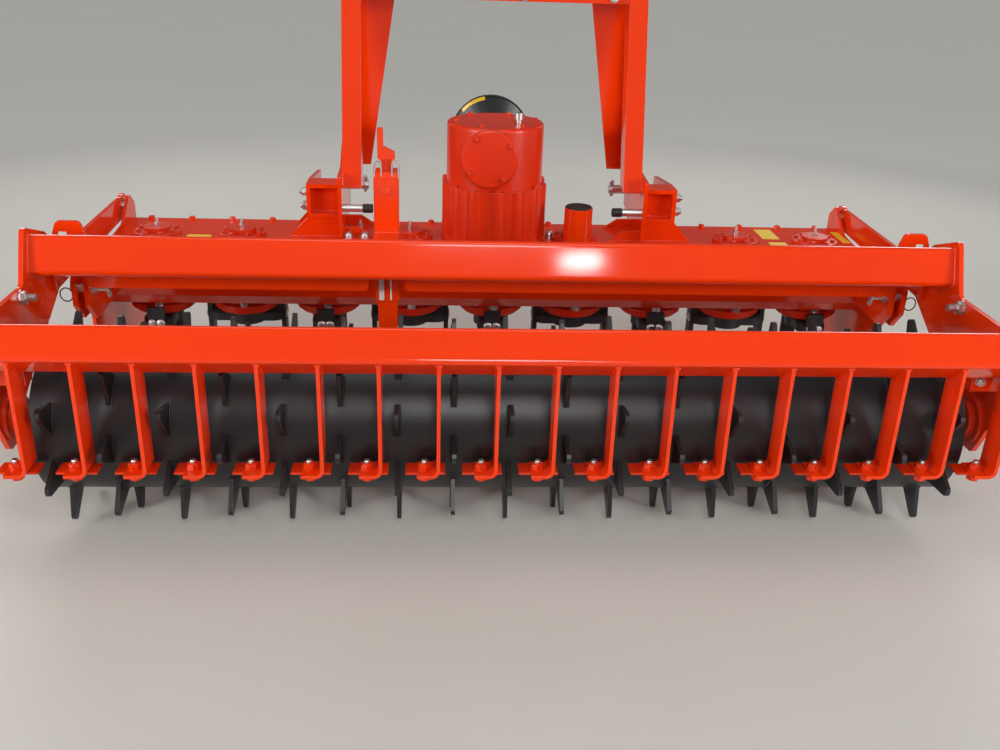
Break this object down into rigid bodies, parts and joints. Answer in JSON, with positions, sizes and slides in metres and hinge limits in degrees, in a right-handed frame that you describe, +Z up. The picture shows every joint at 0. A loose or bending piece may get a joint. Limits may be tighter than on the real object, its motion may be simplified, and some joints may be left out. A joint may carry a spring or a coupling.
{
  "type": "power harrow",
  "caption": "Mounted power harrow: a long trough of upright tined rotors with a centre gearbox, a hitch tower, and a toothed packer roller with scrapers behind.",
  "frame": {"origin": "on the floor under the middle of the machine", "axes": "+X to the right seen from behind, +Y forward to the tractor, +Z up"},
  "size_m": [2.356, 1.4526, 1.28],
  "materials": {
    "red_paint": "glossy enamel",
    "black_paint": "satin enamel",
    "zinc_steel": "bright zinc plated",
    "black_plastic": "moulded"
  },
  "bodies": {
    "frame": {"trough": "red_paint", "trough_lid": "red_paint", "bearing_caps": "red_paint", "bearing_housings": "red_paint", "gearbox_base": "red_paint", "gearbox_drum": "red_paint", "gearbox_cover": "red_paint", "input_guard": "black_plastic", "oil_filler": "red_paint", "oil_filler_cap": "black_plastic", "breather": "zinc_steel", "tower_crossbar": "red_paint", "top_link_ears": "red_paint", "end_plates": "red_paint", "arm_pivots": "zinc_steel", "depth_sectors": "red_paint", "depth_pins": "zinc_steel", "link_boxes": "red_paint", "link_pins": "zinc_steel", "rear_stays": "red_paint", "front_legs": "red_paint"},
    "input_shaft": {"input_shaft": "zinc_steel"},
    "roller_frame": {"upper_beam": "red_paint", "rear_beam": "red_paint", "stone_guard": "red_paint", "scraper_arms": "red_paint", "scraper_blades": "red_paint", "board_adjuster": "red_paint", "board_spindle": "zinc_steel", "roller_arms": "red_paint", "side_plates": "red_paint", "roller_bearings": "black_paint", "beam_lugs": "red_paint"},
    "packer_roller": {"packer_roller": "black_paint"},
    "levelling_board": {"board_stem": "red_paint", "levelling_board": "red_paint"},
    "rotor_1": {"rotor_1": "black_paint"},
    "rotor_2": {"rotor_2": "black_paint"},
    "rotor_3": {"rotor_3": "black_paint"},
    "rotor_4": {"rotor_4": "black_paint"},
    "rotor_5": {"rotor_5": "black_paint"},
    "rotor_6": {"rotor_6": "black_paint"},
    "rotor_7": {"rotor_7": "black_paint"},
    "rotor_8": {"rotor_8": "black_paint"},
    "rotor_9": {"rotor_9": "black_paint"}
  },
  "joints": [
    {"name": "rotor_1_spin", "type": "hinge", "parent": "frame", "child": "rotor_1", "pos_m": [-1, 0.33633, 0.288], "axis": [0, 0, 1], "continuous": true},
    {"name": "rotor_2_spin", "type": "hinge", "parent": "frame", "child": "rotor_2", "pos_m": [-0.75, 0.33633, 0.288], "axis": [0, 0, 1], "continuous": true},
    {"name": "rotor_3_spin", "type": "hinge", "parent": "frame", "child": "rotor_3", "pos_m": [-0.5, 0.33633, 0.288], "axis": [0, 0, 1], "continuous": true},
    {"name": "rotor_4_spin", "type": "hinge", "parent": "frame", "child": "rotor_4", "pos_m": [-0.25, 0.33633, 0.288], "axis": [0, 0, 1], "continuous": true},
    {"name": "rotor_5_spin", "type": "hinge", "parent": "frame", "child": "rotor_5", "pos_m": [0, 0.33633, 0.288], "axis": [0, 0, 1], "continuous": true},
    {"name": "rotor_6_spin", "type": "hinge", "parent": "frame", "child": "rotor_6", "pos_m": [0.25, 0.33633, 0.288], "axis": [0, 0, 1], "continuous": true},
    {"name": "rotor_7_spin", "type": "hinge", "parent": "frame", "child": "rotor_7", "pos_m": [0.5, 0.33633, 0.288], "axis": [0, 0, 1], "continuous": true},
    {"name": "rotor_8_spin", "type": "hinge", "parent": "frame", "child": "rotor_8", "pos_m": [0.75, 0.33633, 0.288], "axis": [0, 0, 1], "continuous": true},
    {"name": "rotor_9_spin", "type": "hinge", "parent": "frame", "child": "rotor_9", "pos_m": [1, 0.33633, 0.288], "axis": [0, 0, 1], "continuous": true},
    {"name": "input_spin", "type": "hinge", "parent": "frame", "child": "input_shaft", "pos_m": [0, 0.33633, 0.716], "axis": [0, 1, 0], "continuous": true},
    {"name": "roller_frame_swing", "type": "hinge", "parent": "frame", "child": "roller_frame", "pos_m": [0, 0.52633, 0.492], "axis": [-1, 0, 0], "range_deg": [0, 16]},
    {"name": "packer_roll", "type": "hinge", "parent": "roller_frame", "child": "packer_roller", "pos_m": [0, -0.45367, 0.245], "axis": [1, 0, 0], "continuous": true},
    {"name": "board_height", "type": "slide", "parent": "roller_frame", "child": "levelling_board", "axis": [0, 0, 1], "range_m": [-0.06, 0.07]}
  ],
  "couplings": [
    {"joint": "rotor_1_spin", "follows": "rotor_5_spin", "ratio": 1},
    {"joint": "rotor_2_spin", "follows": "rotor_5_spin", "ratio": -1},
    {"joint": "rotor_3_spin", "follows": "rotor_5_spin", "ratio": 1},
    {"joint": "rotor_4_spin", "follows": "rotor_5_spin", "ratio": -1},
    {"joint": "rotor_6_spin", "follows": "rotor_5_spin", "ratio": -1},
    {"joint": "rotor_7_spin", "follows": "rotor_5_spin", "ratio": 1},
    {"joint": "rotor_8_spin", "follows": "rotor_5_spin", "ratio": -1},
    {"joint": "rotor_9_spin", "follows": "rotor_5_spin", "ratio": 1},
    {"joint": "input_spin", "follows": "rotor_5_spin", "ratio": 3}
  ]
}
